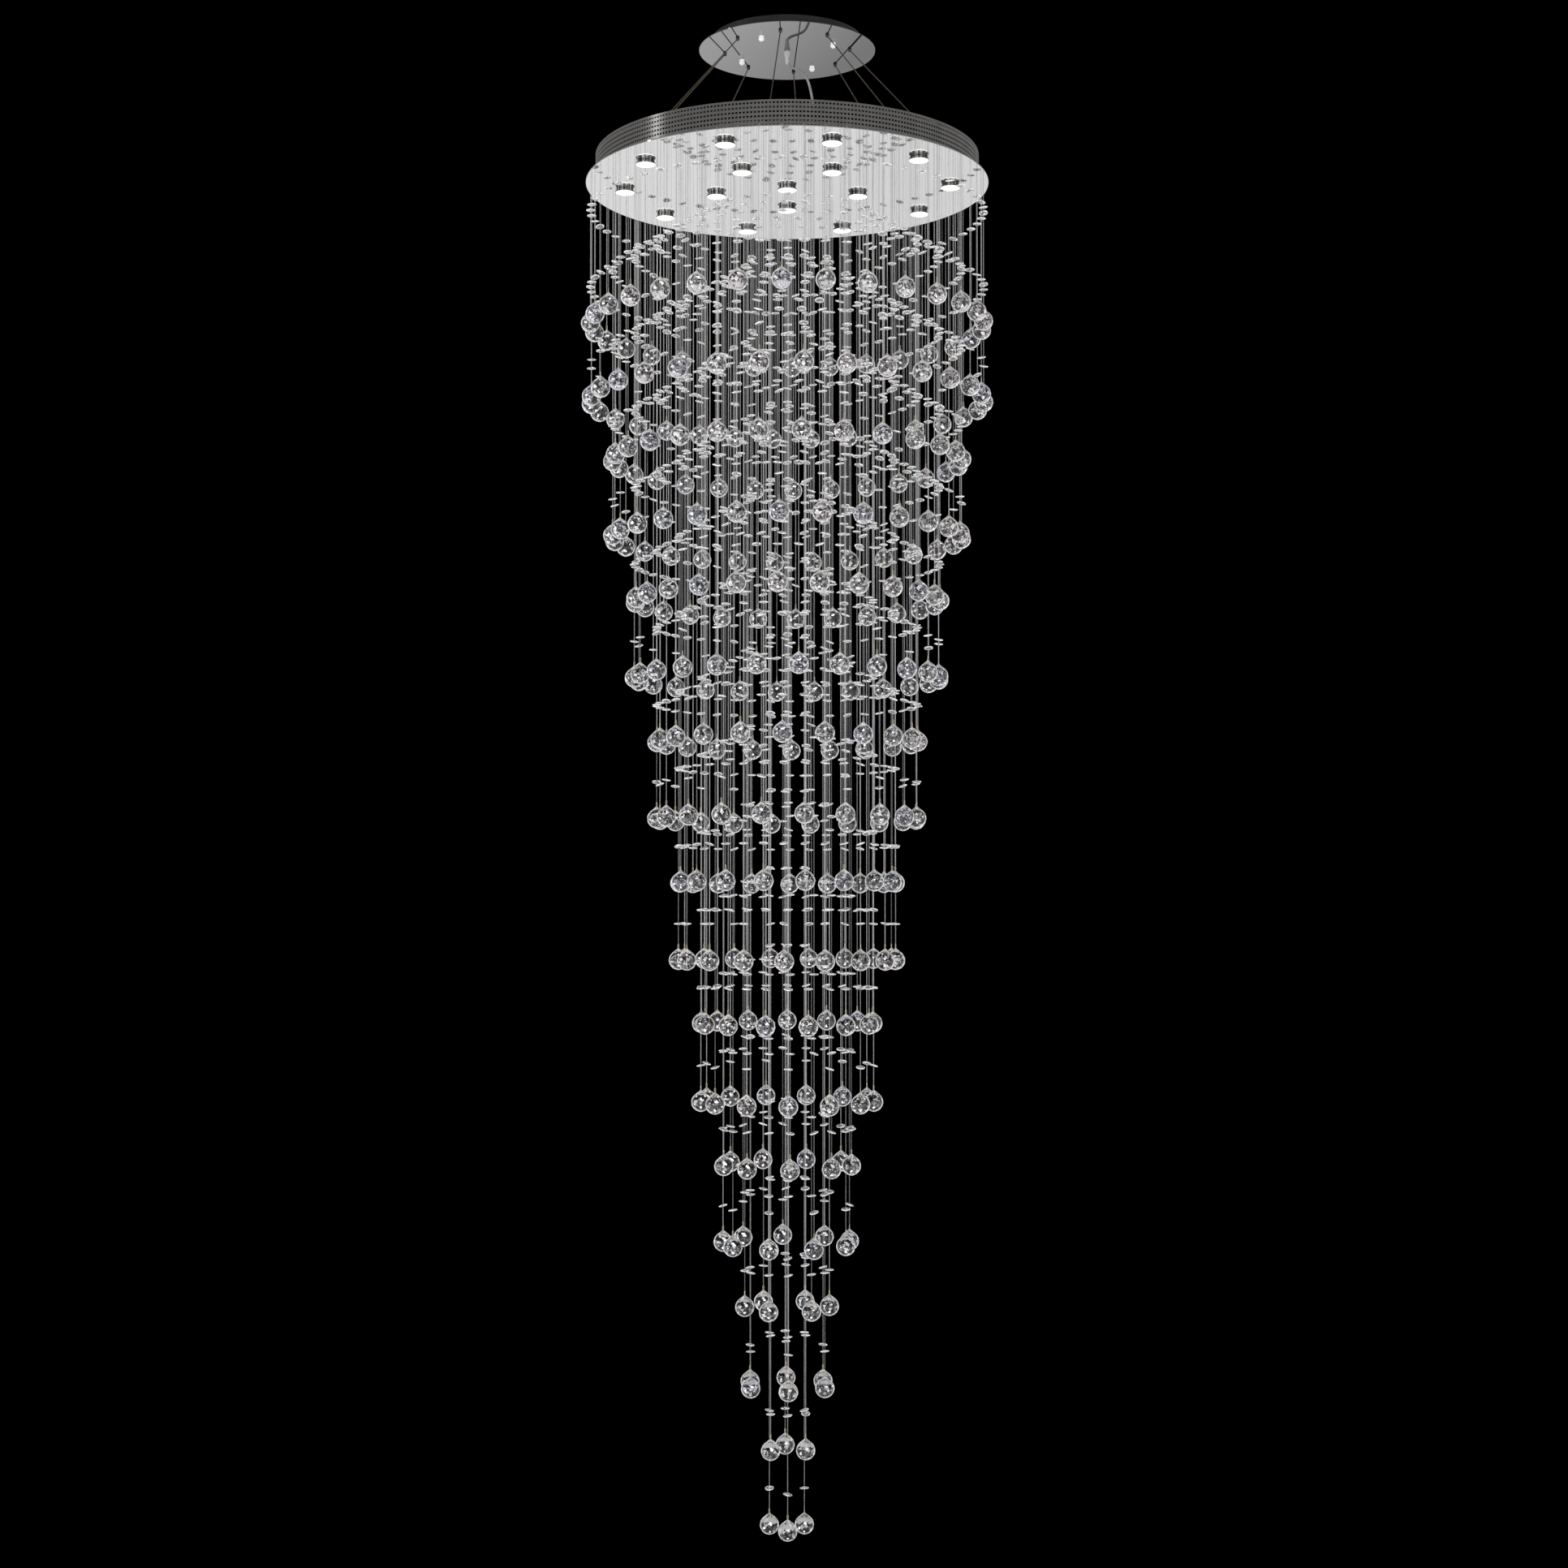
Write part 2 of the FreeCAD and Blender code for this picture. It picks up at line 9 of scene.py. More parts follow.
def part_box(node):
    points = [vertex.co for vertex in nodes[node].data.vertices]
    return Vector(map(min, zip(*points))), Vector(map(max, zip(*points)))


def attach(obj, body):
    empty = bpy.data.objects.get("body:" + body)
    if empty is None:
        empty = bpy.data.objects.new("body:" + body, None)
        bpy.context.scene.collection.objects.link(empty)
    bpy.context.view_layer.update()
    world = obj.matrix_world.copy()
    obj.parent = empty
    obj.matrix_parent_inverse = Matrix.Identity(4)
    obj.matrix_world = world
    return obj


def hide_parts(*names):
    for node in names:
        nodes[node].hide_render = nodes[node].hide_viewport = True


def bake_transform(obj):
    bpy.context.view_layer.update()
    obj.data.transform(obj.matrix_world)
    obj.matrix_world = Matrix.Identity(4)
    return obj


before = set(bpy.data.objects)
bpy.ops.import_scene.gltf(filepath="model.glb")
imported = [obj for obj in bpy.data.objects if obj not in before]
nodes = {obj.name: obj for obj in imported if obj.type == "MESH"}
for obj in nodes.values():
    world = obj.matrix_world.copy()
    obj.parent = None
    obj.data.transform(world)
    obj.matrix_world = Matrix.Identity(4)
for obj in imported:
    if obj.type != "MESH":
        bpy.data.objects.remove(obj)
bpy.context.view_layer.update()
chance = random.Random(7)
# random numbers for the painted glints on the crystal facets
paintedGlintRandom = np.random.default_rng(7)
print("frame loaded:", len(nodes), "nodes")


# Shader sums

class Wire:
    # one shader value: plain sums and comparisons on it add Math nodes
    def __init__(self, paint, socket):
        self.paint = paint
        self.socket = socket

    def sum(self, operation, first, second=0.0):
        return self.paint.node("ShaderNodeMath", {"operation": operation}, {0: first, 1: second})

    def __add__(self, other):
        return self.sum("ADD", self, other)

    def __sub__(self, other):
        return self.sum("SUBTRACT", self, other)

    def __rsub__(self, other):
        return self.sum("SUBTRACT", other, self)

    def __mul__(self, other):
        return self.sum("MULTIPLY", self, other)

    def __gt__(self, other):
        return self.sum("GREATER_THAN", self, other)

    def __lt__(self, other):
        return self.sum("LESS_THAN", self, other)

    __radd__ = __add__
    __rmul__ = __mul__


class Paint:
    # one material or world: node() adds any node, with its settings first and then its sockets
    def __init__(self, name, kind="Material"):
        self.kind = kind
        self.owner = (bpy.data.materials if kind == "Material" else bpy.data.worlds).new(name)
        self.owner.use_nodes = True
        self.tree = self.owner.node_tree
        self.tree.nodes.clear()

    def node(self, kind, settings, inputs, output=0):
        made = self.tree.nodes.new(kind)
        for key, value in settings.items():
            if key == "ramp":
                self.fillRamp(made.color_ramp, value)
            else:
                setattr(made, key, value)
        for key, value in inputs.items():
            if isinstance(value, Wire):
                self.tree.links.new(value.socket, made.inputs[key])
            else:
                made.inputs[key].default_value = value
        return Wire(self, made.outputs[output])

    def fillRamp(self, ramp, stops):
        while len(ramp.elements) < len(stops):
            ramp.elements.new(0.5)
        for element, (place, colour) in zip(ramp.elements, stops):
            element.position = place
            element.color = (*colour, 1)

    def place(self, output="Object"):
        return self.node("ShaderNodeTexCoord", {}, {}, output)

    def along(self, vector, axis):
        return self.node("ShaderNodeSeparateXYZ", {}, {0: vector}, axis)

    def stretched(self, scale):
        return self.node("ShaderNodeMapping", {}, {"Vector": self.place(), "Scale": scale})

    def noise(self, scale, detail=2.0, where=None):
        sockets = {"Vector": where or self.place(), "Scale": scale, "Detail": detail}
        return self.node("ShaderNodeTexNoise", {}, sockets)

    def ramp(self, factor, stops):
        return self.node("ShaderNodeValToRGB", {"ramp": stops}, {0: factor})

    def mixed(self, factor, first, second):
        # two colours by a factor
        return self.node("ShaderNodeMix", {"data_type": "RGBA"}, {0: factor, 6: first, 7: second}, 2)

    def attribute(self, name, output):
        return self.node("ShaderNodeAttribute", {"attribute_name": name}, {}, output)

    def ray(self, kind):
        return self.node("ShaderNodeLightPath", {}, {}, kind)

    def island(self):
        return self.node("ShaderNodeNewGeometry", {}, {}, "Random Per Island")

    def bump(self, height, strength, distance):
        sockets = {"Height": height, "Strength": strength, "Distance": distance}
        return self.node("ShaderNodeBump", {}, sockets)

    def surface(self, sockets):
        return self.node("ShaderNodeBsdfPrincipled", {}, sockets)

    def blended(self, factor, first, second):
        # two shaders by a factor
        return self.node("ShaderNodeMixShader", {}, {0: factor, 1: first, 2: second})

    def done(self, shader):
        out = self.tree.nodes.new("ShaderNodeOutput" + self.kind)
        self.tree.links.new(shader.socket, out.inputs["Surface"])
        return self.owner


def grey(level):
    return (level, level, level)


# Materials

def mirrorSteel(name, dark, light, waviness):
    # polished sheet with a faint wobble and the finest polishing lines; painted light makes it paler to its
    # left and front
    p = Paint(name)
    here = p.place()
    lines = p.noise(60.0, 3.0, p.stretched((1.0, 14.0, 1.0)))
    # painted light and shade: lighter to the left and front, darker to the right and back
    paintedSideLight = 0.5 - p.along(here, "X") * 3.0 - p.along(here, "Y") * 1.4
    shade = p.ramp(paintedSideLight * 0.85 + lines * 0.15, [(0.1, dark), (0.9, light)])
    waves = p.noise(5.0, 1.0)
    sockets = {"Base Color": shade, "Metallic": 1.0, "Roughness": 0.012 + lines * 0.02,
               "Normal": p.bump(waves, waviness, 0.004)}
    return p.done(p.surface(sockets))


def brushedSteel(name, dark, light, scale, roughness, depth=0.15):
    p = Paint(name)
    grain = p.noise(40.0, 4.0, p.stretched(scale))
    cloud = p.noise(9.0, 2.0)
    shade = p.ramp(grain * 0.6 + cloud * 0.4, [(0.3, dark), (0.7, light)])
    sockets = {"Base Color": shade, "Metallic": 1.0, "Roughness": roughness + grain * depth,
               "Normal": p.bump(grain, depth, 0.0004)}
    return p.done(p.surface(sockets))


def zincSteel():
    # plated sheet with faint spangles
    p = Paint("zincSteel")
    cells = p.node("ShaderNodeTexVoronoi", {}, {"Vector": p.place(), "Scale": 160.0}, "Distance")
    shade = p.ramp(cells, [(0.0, (0.58, 0.59, 0.60)), (0.8, (0.70, 0.71, 0.72))])
    return p.done(p.surface({"Base Color": shade, "Metallic": 1.0, "Roughness": 0.28 + cells * 0.2}))


def chrome():
    # plated nuts and pins, near-white and matt with a weak painted glow; both stand in for the highlights of
    # polished chrome
    p = Paint("chrome")
    haze = p.noise(120.0, 2.0)
    shade = p.ramp(haze, [(0.2, (0.92, 0.92, 0.93)), (0.8, (0.98, 0.98, 0.98))])
    # the emission is a painted highlight, not a lamp
    return p.done(p.surface({"Base Color": shade, "Metallic": 0.1, "Roughness": 0.25 + haze * 0.1,
                             "Emission Color": shade, "Emission Strength": 0.35}))


def darkSteel(name, dark, light):
    # dark steel fittings: the rope ends' own dark, oiled tone, and near-black painted shade on the drum's
    # frame and pillars
    p = Paint(name)
    cloud = p.noise(150.0, 3.0)
    shade = p.ramp(cloud, [(0.3, dark), (0.7, light)])
    return p.done(p.surface({"Base Color": shade, "Metallic": 0.8, "Roughness": 0.35 + cloud * 0.2}))


def wireRope():
    # thin stranded rope with dark grime; its warm tint, different on each rope, is painted warm light
    p = Paint("wireRope")
    own = p.noise(2.3, 0.0)
    grime = p.noise(300.0, 3.0)
    # painted warm light, differing from rope to rope
    paintedWarmLight = p.ramp(own, [(0.35, (0.22, 0.12, 0.10)), (0.5, (0.17, 0.14, 0.12)), (0.65, (0.19, 0.165, 0.10))])
    shade = p.mixed(grime * 0.5, paintedWarmLight, (0.05, 0.045, 0.045, 1))
    return p.done(p.surface({"Base Color": shade, "Metallic": 0.6, "Roughness": 0.3 + grime * 0.15}))


def plastic(name, dark, light, roughness, extra=None):
    p = Paint(name)
    cloud = p.noise(220.0, 3.0)
    shade = p.ramp(cloud, [(0.3, dark), (0.7, light)])
    sockets = {"Base Color": shade, "Roughness": roughness + cloud * 0.1, **(extra or {}),
               "Normal": p.bump(cloud, 0.1, 0.0003)}
    return p.done(p.surface(sockets))


def wovenSleeve():
    p = Paint("wovenSleeve")
    weave = p.node("ShaderNodeTexWave", {"wave_type": "BANDS", "bands_direction": "DIAGONAL"},
                   {"Vector": p.place(), "Scale": 320.0, "Distortion": 1.0}, "Fac")
    shade = p.ramp(weave, [(0.2, (0.62, 0.59, 0.50)), (0.8, (0.84, 0.82, 0.76))])
    sockets = {"Base Color": shade, "Roughness": 0.8, "Normal": p.bump(weave, 0.4, 0.0004)}
    return p.done(p.surface(sockets))


def brass():
    # pale gilt pins
    p = Paint("brass")
    haze = p.noise(400.0, 2.0)
    shade = p.ramp(haze, [(0.2, (0.86, 0.72, 0.46)), (0.8, (0.97, 0.90, 0.72))])
    return p.done(p.surface({"Base Color": shade, "Metallic": 0.7, "Roughness": 0.25 + haze * 0.15}))


def crystal():
    # clear lead glass with a faint tint for each ball; a painted white outline in patches and single facets
    # with a painted glint, both with a weak glow, stand in for its highlights
    p = Paint("crystal")
    tint = p.ramp(p.island(), [(0.0, (0.90, 0.91, 1.0)), (0.5, (0.97, 0.97, 0.97)), (1.0, (1.0, 0.95, 0.98))])
    haze = p.noise(70.0, 2.0)
    glass = p.surface({"Base Color": tint, "Roughness": haze * 0.03, "IOR": 1.6, "Transmission Weight": 1.0})
    # painted highlight: a white surface with a weak glow, mixed into the glass at the outline and the
    # glinting facets
    paintedFlash = p.surface({"Base Color": tint, "Metallic": 0.1, "Roughness": 0.3,
                       "Emission Color": (1.0, 1.0, 1.0, 1.0), "Emission Strength": 0.12})
    outward = p.attribute("outward", "Vector")
    turn = {"vector_type": "NORMAL", "convert_from": "OBJECT", "convert_to": "WORLD"}
    outward = p.node("ShaderNodeVectorTransform", turn, {"Vector": outward})
    edge = p.node("ShaderNodeLayerWeight", {}, {"Blend": 0.5, "Normal": outward}, "Facing")
    behind = p.node("ShaderNodeNewGeometry", {}, {}, "Backfacing")
    # painted outline highlight broken into patches, and painted glints on single facets
    paintedRim = p.ramp(edge, [(0.44, grey(0.0)), (0.68, grey(0.9))])
    paintedPatches = p.ramp(p.noise(150.0, 1.0), [(0.35, grey(0.3)), (0.6, grey(1.0))])
    glint = p.ramp(p.attribute("glint", "Fac"), [(0.90, grey(0.0)), (0.92, grey(0.5)), (1.0, grey(0.8))])
    return p.done(p.blended((paintedRim * paintedPatches + glint) * (1 - behind), glass, paintedFlash))


def beadCrystal():
    # small cut beads: the facets round their edge get a painted highlight in patches, a white surface with a
    # weak glow, and the middle is clear
    p = Paint("beadCrystal")
    own = p.island()
    tint = p.ramp(own, [(0.0, (0.84, 0.85, 0.88)), (0.5, (0.97, 0.97, 0.97)), (1.0, (0.98, 0.94, 0.93))])
    glass = p.surface({"Base Color": tint, "Roughness": 0.04, "IOR": 1.6, "Transmission Weight": 1.0})
    # painted highlight: a white surface with a weak glow, mixed in near the edge
    paintedFlash = p.surface({"Base Color": tint, "Metallic": 0.2, "Roughness": 0.25,
                       "Emission Color": (1.0, 1.0, 1.0, 1.0), "Emission Strength": 0.30})
    outward = p.attribute("outward", "Vector")
    reach = p.node("ShaderNodeVectorMath", {"operation": "LENGTH"}, {0: outward}, "Value")
    edge = p.ramp(reach, [(0.33, grey(0.12)), (0.44, grey(1.0))])
    paintedPatches = p.ramp(p.noise(210.0, 1.0), [(0.38, grey(0.15)), (0.54, grey(1.0))])
    glint = p.ramp(p.attribute("glint", "Fac"), [(0.25, grey(0.45)), (0.45, grey(1.0))])
    return p.done(p.blended(edge * paintedPatches * glint, glass, paintedFlash))


def nylonLine():
    # thin clear line: most of what is behind it shows through
    p = Paint("nylonLine")
    own = p.island()
    shade = p.ramp(own, [(0.0, grey(0.45)), (1.0, grey(0.90))])
    sockets = {"Base Color": shade, "Roughness": 0.25 + own * 0.2, "Alpha": 0.16 + own * 0.12}
    return p.done(p.surface(sockets))


def litGlass(name, glow):
    # lit glass of the lamps, with the facets of the bowl
    p = Paint(name)
    cells = p.node("ShaderNodeTexVoronoi", {}, {"Vector": p.place(), "Scale": 260.0}, "Distance")
    shade = p.ramp(cells, [(0.0, (1.0, 0.99, 0.96)), (0.7, (0.93, 0.91, 0.88))])
    sockets = {"Base Color": shade, "Roughness": 0.2, "Emission Color": shade, "Emission Strength": glow}
    return p.done(p.surface(sockets))


def lampShell():
    # dark ribbed housing
    p = Paint("lampShell")
    cloud = p.noise(90.0, 2.0)
    shade = p.ramp(cloud, [(0.3, (0.15, 0.145, 0.15)), (0.7, (0.26, 0.255, 0.26))])
    sockets = {"Base Color": shade, "Metallic": 0.55, "Roughness": 0.12 + cloud * 0.1}
    return p.done(p.surface(sockets))


def matt(name, colour):
    p = Paint(name)
    cloud = p.noise(2.0, 2.0)
    shade = p.ramp(cloud, [(0.3, [0.96 * c for c in colour]), (0.7, colour)])
    return p.done(p.surface({"Base Color": shade, "Roughness": 0.85}))


finish = {
    "canopyMirror": mirrorSteel("canopyMirror", grey(0.10), grey(0.31), 0.05),
    "plateMirror": mirrorSteel("plateMirror", grey(0.80), grey(0.87), 0.05),
    "pewter": brushedSteel("pewter", (0.42, 0.41, 0.40), (0.58, 0.57, 0.555), (1.0, 1.0, 0.08), 0.17, 0.05),
    "pan": brushedSteel("panSteel", grey(0.07), grey(0.13), (1.0, 1.0, 6.0), 0.34),
    "cover": brushedSteel("coverSteel", grey(0.30), grey(0.42), (0.3, 8.0, 1.0), 0.40),
    "zinc": zincSteel(),
    # near-black painted shade: the drum's frame and pillars sit in the shade inside the drum, behind the
    # band's holes
    "paintedShadeBlack": darkSteel("paintedShadeSteel", grey(0.03), grey(0.06)),
    "ropeEnd": darkSteel("ropeEndSteel", grey(0.10), grey(0.18)),
    "chrome": chrome(),
    "rope": wireRope(),
    "gland": plastic("glandPlastic", grey(0.84), grey(0.94), 0.18, {"Transmission Weight": 0.25}),
    "sheath": plastic("clearSheath", grey(0.50), grey(0.60), 0.10, {"Transmission Weight": 0.35}),
    "core": brushedSteel("tinnedCore", (0.75, 0.75, 0.74), (0.90, 0.90, 0.89), (1.0, 1.0, 1.0), 0.3),
    "white": plastic("whitePlastic", (0.80, 0.80, 0.78), (0.88, 0.88, 0.86), 0.40),
    "ceramic": plastic("ceramic", (0.82, 0.81, 0.77), (0.90, 0.89, 0.86), 0.55),
    "sleeve": wovenSleeve(),
    "brass": brass(),
    "crystal": crystal(),
    "bead": beadCrystal(),
    "line": nylonLine(),
    "lampFace": litGlass("lampFace", 1.2),
    "lampBowl": litGlass("lampBowl", 0.5),
    "lampShell": lampShell(),
    "floor": matt("paleFloor", (0.80, 0.79, 0.77)),
}
print("materials:", len(finish))


# Shapes: a shape is (points as an array, faces as lists of point numbers)

class Form:
    # one mesh put together from placed copies of shapes
    def __init__(self):
        self.points = []
        self.outward = []
        self.faces = []
        self.count = 0

    def add(self, shape, place=Matrix()):
        points, faces = shape
        matrix = np.array(place)
        spun = points @ matrix[:3, :3].T
        self.points.append(spun + matrix[:3, 3])
        self.outward.append(spun)
        self.faces.extend([[self.count + n for n in face] for face in faces])
        self.count += len(points)
        return self

    def piece(self, name, material, body, slot, replaced=(), smooth=False):
        mesh = bpy.data.meshes.new(name)
        mesh.from_pydata(np.concatenate(self.points).tolist(), [], self.faces)
        mesh.polygons.foreach_set("use_smooth", [smooth] * len(mesh.polygons))
        mesh.materials.append(finish[material])
        if material in ("crystal", "bead"):
            # painted glints: each facet gets a random number, and the glass paints the highest ones bright
            glint = mesh.attributes.new("glint", "FLOAT", "FACE")
            glint.data.foreach_set("value", paintedGlintRandom.random(len(mesh.polygons)))
            outward = mesh.attributes.new("outward", "FLOAT_VECTOR", "POINT")
            outward.data.foreach_set("vector", (np.concatenate(self.outward) / ball["radius"]).ravel())
        piece = bpy.data.objects.new(name, mesh)
        bpy.context.collection.objects.link(piece)
        if replaced:
            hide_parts(*replaced)
        if body:
            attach(piece, body)
        return piece


def at(x, y, z, turn=0.0):
    return Matrix.Translation((x, y, z)) @ Matrix.Rotation(turn, 4, "Z")


def ringPoints(radius, height, sides, turn=0.0):
    steps = [turn + 2 * math.pi * k / sides for k in range(sides)]
    return [(radius * math.cos(a), radius * math.sin(a), height) for a in steps]


def tubeFaces(rings, sides):
    # quads between rings of points, and a flat face at each end
    faces = []
    for k in range(rings - 1):
        low, high = k * sides, (k + 1) * sides
        for n in range(sides):
            m = (n + 1) % sides
            faces.append([low + n, low + m, high + m, high + n])
    faces.append(list(range(sides))[::-1])
    faces.append([(rings - 1) * sides + n for n in range(sides)])
    return faces


def turned(profile, sides):
    # a turned shape from (radius, height) pairs, low end first, with flat ends
    points = []
    for radius, height in profile:
        points += ringPoints(radius, height, sides)
    return np.array(points), tubeFaces(len(profile), sides)


def swept(path, radius, sides, lobes=0.0, lay=1.0):
    # a tube along points: with lobes, its section is a rope's, turning once in every lay
    path = [Vector(p) for p in path]
    points = []
    run = 0.0
    side = (path[1] - path[0]).orthogonal().normalized()
    for k, here in enumerate(path):
        ahead = (path[min(k + 1, len(path) - 1)] - path[max(k - 1, 0)]).normalized()
        side = (side - ahead * side.dot(ahead)).normalized()
        across = ahead.cross(side)
        if k:
            run += (here - path[k - 1]).length
        for n in range(sides):
            a = 2 * math.pi * n / sides
            reach = radius * (1 - lobes * (n % 2))
            spin = a + 2 * math.pi * run / lay
            points.append(here + side * (reach * math.cos(spin)) + across * (reach * math.sin(spin)))
    return np.array([tuple(p) for p in points]), tubeFaces(len(path), sides)


def cut(points, flat=2.0):
    # the facetted solid round a cloud of points, its flat facets whole
    shell = bmesh.new()
    for p in points:
        shell.verts.new(p)
    bmesh.ops.convex_hull(shell, input=shell.verts)
    bmesh.ops.delete(shell, geom=[v for v in shell.verts if not v.link_faces], context="VERTS")
    bmesh.ops.dissolve_limit(shell, angle_limit=math.radians(flat), verts=shell.verts, edges=shell.edges)
    shell.verts.index_update()
    shape = np.array([tuple(v.co) for v in shell.verts]), [[v.index for v in f.verts] for f in shell.faces]
    shell.free()
    return shape


def smoothLine(route, fine=12):
    # the NURBS curve of a cord's route, as points, with so many to each run
    curve = bpy.data.curves.new("route", "CURVE")
    curve.dimensions = "3D"
    curve.resolution_u = fine
    spline = curve.splines.new("NURBS")
    spline.points.add(len(route) - 1)
    for point, place in zip(spline.points, route):
        point.co = (*place, 1)
    spline.order_u = 3
    spline.use_endpoint_u = True
    guide = bpy.data.objects.new("route", curve)
    bpy.context.collection.objects.link(guide)
    bpy.context.view_layer.update()
    mesh = bpy.data.meshes.new_from_object(guide.evaluated_get(bpy.context.evaluated_depsgraph_get()))
    line = [v.co.copy() for v in mesh.vertices]
    bpy.data.objects.remove(guide)
    bpy.data.meshes.remove(mesh)
    return line


def wear(name, material):
    nodes[name].data.materials.clear()
    nodes[name].data.materials.append(finish[material])


# Camera

view = {"away": 5.284, "height": -1.7945, "pitch": 1.39, "shiftX": -0.0020, "shiftY": 0.05,
        "pixelsLong": 3239.0, "photoSide": 1932.0, "sensor": 36.0, "far": 60.0}


def makeCamera():
    data = bpy.data.cameras.new("camera")
    data.sensor_width = view["sensor"]
    data.lens = view["pixelsLong"] / view["photoSide"] * view["sensor"]
    data.shift_x = view["shiftX"]
    data.shift_y = view["shiftY"]
    data.clip_end = view["far"]
    camera = bpy.data.objects.new("camera", data)
    camera.location = (0.0, -view["away"], view["height"])
    camera.rotation_euler = (math.radians(90 + view["pitch"]), 0.0, 0.0)
    bpy.context.collection.objects.link(camera)
    bpy.context.scene.camera = camera


makeCamera()

# Levels from the frame

plateBottom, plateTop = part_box("mirror_plate")[0].z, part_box("mirror_plate")[1].z
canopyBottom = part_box("canopy_plate")[0].z
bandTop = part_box("perforated_band")[1].z
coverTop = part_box("top_cover")[1].z
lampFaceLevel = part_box("centre_lamp")[0].z

# Power cord

cord = {"diameter": 0.005, "sides": 20, "glandTip": 0.014, "endX": 0.060013, "endY": 0.012975,
        "cores": 3, "coreRadius": 0.0008, "coreOff": 0.0010, "coreSides": 10, "lay": 0.045,
        "relief": ((0.0028, -0.0262), (0.0032, -0.0256), (0.0042, -0.0150), (0.0042, -0.0138))}


def cordRoute():
    # the same points as the solid's route, in metres
    high = canopyBottom - cord["glandTip"]
    low = coverTop + cord["glandTip"]
    x, y = cord["endX"], cord["endY"]
    return [(0, 0, high), (0, 0, high - 0.011), (0.009, 0.002, high - 0.018), (0.022, 0.004, high - 0.0225),
            (0.034, 0.007, high - 0.029), (0.042, 0.008, high - 0.041), (0.050, 0.010, high - 0.070),
            (x, y, low + 0.060), (x, y, low)]


def powerCord():
    # a clear sheath with twisted cores inside, and a tapered relief under the canopy's gland
    line = smoothLine(cordRoute())
    sheath = Form().add(swept(line, cord["diameter"] / 2, cord["sides"]))
    sheath = sheath.piece("power_cord_sheath", "sheath", None, "clear_cord", ["power_cord"], True)
    cores = Form()
    for k in range(cord["cores"]):
        path = []
        run = 0.0
        for before, here in zip([line[0]] + line, line):
            run += (here - before).length
            spin = 2 * math.pi * (run / cord["lay"] + k / cord["cores"])
            path.append(here + Vector((math.cos(spin), math.sin(spin), 0)) * cord["coreOff"])
        cores.add(swept(path, cord["coreRadius"], cord["coreSides"]))
    cores = cores.piece("power_cord_cores", "core", None, "clear_cord", (), True)
    relief = Form().add(turned(cord["relief"], 32), at(0, 0, canopyBottom))
    relief = relief.piece("cord_relief", "gland", "canopy", "clear_cord", (), True)
    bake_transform(sheath)
    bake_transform(cores)
    length = sum((b - a).length for a, b in zip(line, line[1:]))
    print("power cord: %.1f mm" % (1000 * length))


powerCord()

# Wire ropes

rope = {"count": 8, "turn": 39.0, "topCircle": 0.1270, "lowCircle": 0.3380, "radius": 0.0012,
        "ballRadius": 0.0038, "seat": 0.45, "gap": 0.0001, "sides": 12, "lobes": 0.16, "lay": 0.016,
        "fine": 252}


def wireRopes():
    # straight stranded ropes from the canopy's ball ends to the cover's
    sink = rope["ballRadius"] * rope["seat"]
    trim = rope["ballRadius"] + rope["gap"]
    for k in range(rope["count"]):
        a = math.radians(rope["turn"] + 360.0 * k / rope["count"])
        top = Vector((rope["topCircle"] * math.cos(a), rope["topCircle"] * math.sin(a), canopyBottom - sink))
        low = Vector((rope["lowCircle"] * math.cos(a), rope["lowCircle"] * math.sin(a), coverTop + sink))
        way = (low - top).normalized()
        start = top + way * trim
        end = low - way * trim
        path = smoothLine([start, end], rope["fine"])
        form = Form().add(swept(path, rope["radius"], rope["sides"], rope["lobes"], rope["lay"]))
        piece = form.piece("wire_rope_%d" % (k + 1), "rope", None, "wire_rope", ["suspension_ropes"])
        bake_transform(piece)
    print("wire ropes: %.1f mm each" % (1000 * (end - start).length))


wireRopes()

# Perforated band

band = {"radius": 0.3865, "sheet": 0.0012, "rows": 6, "columns": 340, "edge": 0.0014,
        "holeWide": 0.60, "holeHigh": 0.42}


def perforatedBand():
    # a grid of bars round the drum: each cell is five quads outside, five inside and its hole's four walls
    rows, columns = band["rows"], band["columns"]
    low, high = plateTop + band["edge"], bandTop - band["edge"]
    pitch = (high - low) / rows
    sides = (0, 0.5 - band["holeWide"] / 2, 0.5 + band["holeWide"] / 2)
    across = [n + side for n in range(columns) for side in sides]
    levels = [plateTop]
    for row in range(rows):
        levels.append(low + pitch * (row + 0.5 - band["holeHigh"] / 2))
        levels.append(low + pitch * (row + 0.5 + band["holeHigh"] / 2))
    levels.append(bandTop)
    around = len(across)
    points = []
    for radius in (band["radius"], band["radius"] - band["sheet"]):
        for z in levels:
            for step in across:
                a = 2 * math.pi * step / columns
                points.append((radius * math.cos(a), radius * math.sin(a), z))
    inner = len(levels) * around
    faces = []
    for row in range(len(levels) - 1):
        for n in range(around):
            m = (n + 1) % around
            a, b = row * around + n, row * around + m
            c, d = a + around, b + around
            if row % 2 == 1 and n % 3 == 1:
                for first, second in ((a, b), (b, d), (d, c), (c, a)):
                    faces.append([second, first, inner + first, inner + second])
            else:
                faces.append([a, b, d, c])
                faces.append([inner + b, inner + a, inner + c, inner + d])
    for n in range(around):
        m = (n + 1) % around
        top = (len(levels) - 1) * around
        faces.append([m, n, inner + n, inner + m])
        faces.append([top + n, top + m, inner + top + m, inner + top + n])
    form = Form().add((np.array(points), faces))
    form.piece("perforated_skirt", "pewter", "drum", "pewter_steel", ["perforated_band"])
    print("perforated band:", rows * columns, "holes")


perforatedBand()

# Lamps

